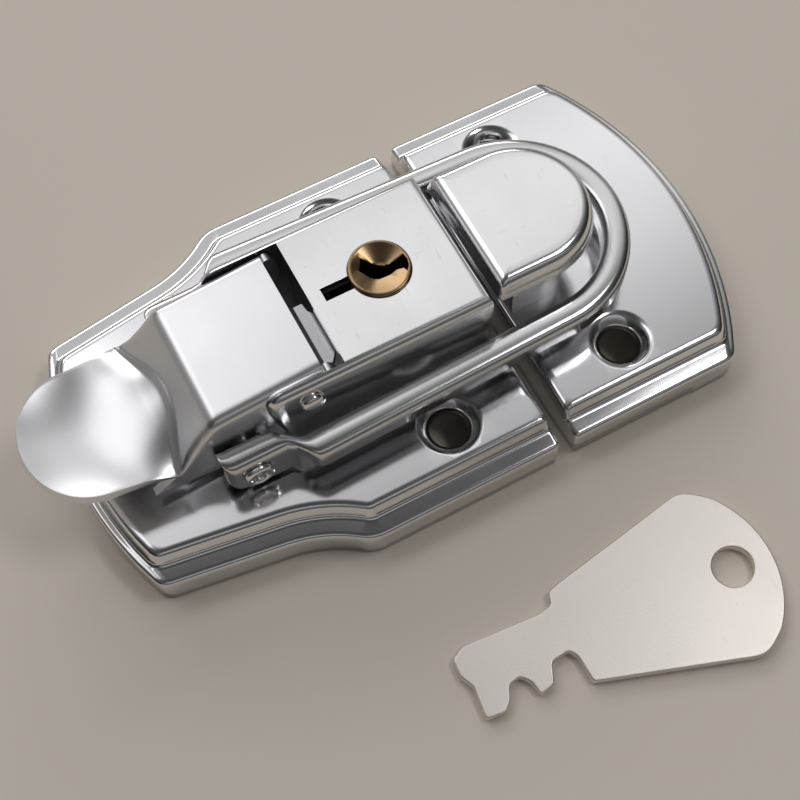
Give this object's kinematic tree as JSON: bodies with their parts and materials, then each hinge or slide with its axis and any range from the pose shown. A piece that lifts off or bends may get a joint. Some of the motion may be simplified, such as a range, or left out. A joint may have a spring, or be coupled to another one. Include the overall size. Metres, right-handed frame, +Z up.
{
  "type": "lockable toggle latch",
  "caption": "Over-centre draw latch on two pressed plates: a dished thumb lever swings a looped bail that hooks a domed catch, with a keyed lock between them and its flat key",
  "frame": {"origin": "On the mounting surface, midway between the screw holes along and across, where the two plates meet", "axes": "+X from the thumb lever to the catch, +Y away from the key across the latch, +Z up out of the mounting surface"},
  "size_m": [0.1048, 0.094, 0.024],
  "materials": {
    "chrome_plate": "bright chrome plate on pressed steel",
    "plated_zinc": "plain plated casting",
    "plain_steel": "plain stamped steel",
    "brass_plug": "turned brass",
    "nickel_key": "satin nickel plate"
  },
  "bodies": {
    "frame": {"base_plate": "chrome_plate", "catch_plate": "chrome_plate", "lock_case": "chrome_plate", "lock_body": "plated_zinc", "lock_cover": "plated_zinc", "cover_screws": "plain_steel", "body_screws": "plain_steel", "lever_pin": "chrome_plate", "pin_spacer": "plain_steel", "catch_cap": "chrome_plate", "catch_post": "plated_zinc", "catch_rivets": "plain_steel"},
    "lever_body": {"lever": "chrome_plate", "lock_tongue": "plain_steel", "bail_rivets": "chrome_plate"},
    "bail_body": {"bail": "chrome_plate"},
    "plug_body": {"key_plug": "brass_plug"},
    "bolt_body": {"latch_bolt": "plain_steel"},
    "key_body": {"key": "nickel_key"}
  },
  "joints": [
    {"name": "lever_swing", "type": "hinge", "parent": "frame", "child": "lever_body", "pos_m": [-0.031, 0, 0.0193], "axis": [0, 1, 0], "range_deg": [0, 100]},
    {"name": "bail_swing", "type": "hinge", "parent": "lever_body", "child": "bail_body", "pos_m": [-0.041, 0, 0.0124], "axis": [0, 1, 0], "range_deg": [-180, 0]},
    {"name": "key_turn", "type": "hinge", "parent": "frame", "child": "plug_body", "pos_m": [-0.0149, 0, 0.016], "axis": [0, 0, 1], "range_deg": [-90, 0]},
    {"name": "bolt_slide", "type": "slide", "parent": "frame", "child": "bolt_body", "axis": [-1, 0, 0], "range_m": [0, 0.0024]},
    {"name": "key_lift", "type": "slide", "parent": "frame", "child": "key_body", "axis": [0, 0, 1], "range_m": [0, 0.04]}
  ],
  "couplings": [
    {"joint": "bail_swing", "follows": "lever_swing", "ratio": -1.8},
    {"joint": "bolt_slide", "follows": "key_turn", "m_per_rad": -0.001527}
  ]
}
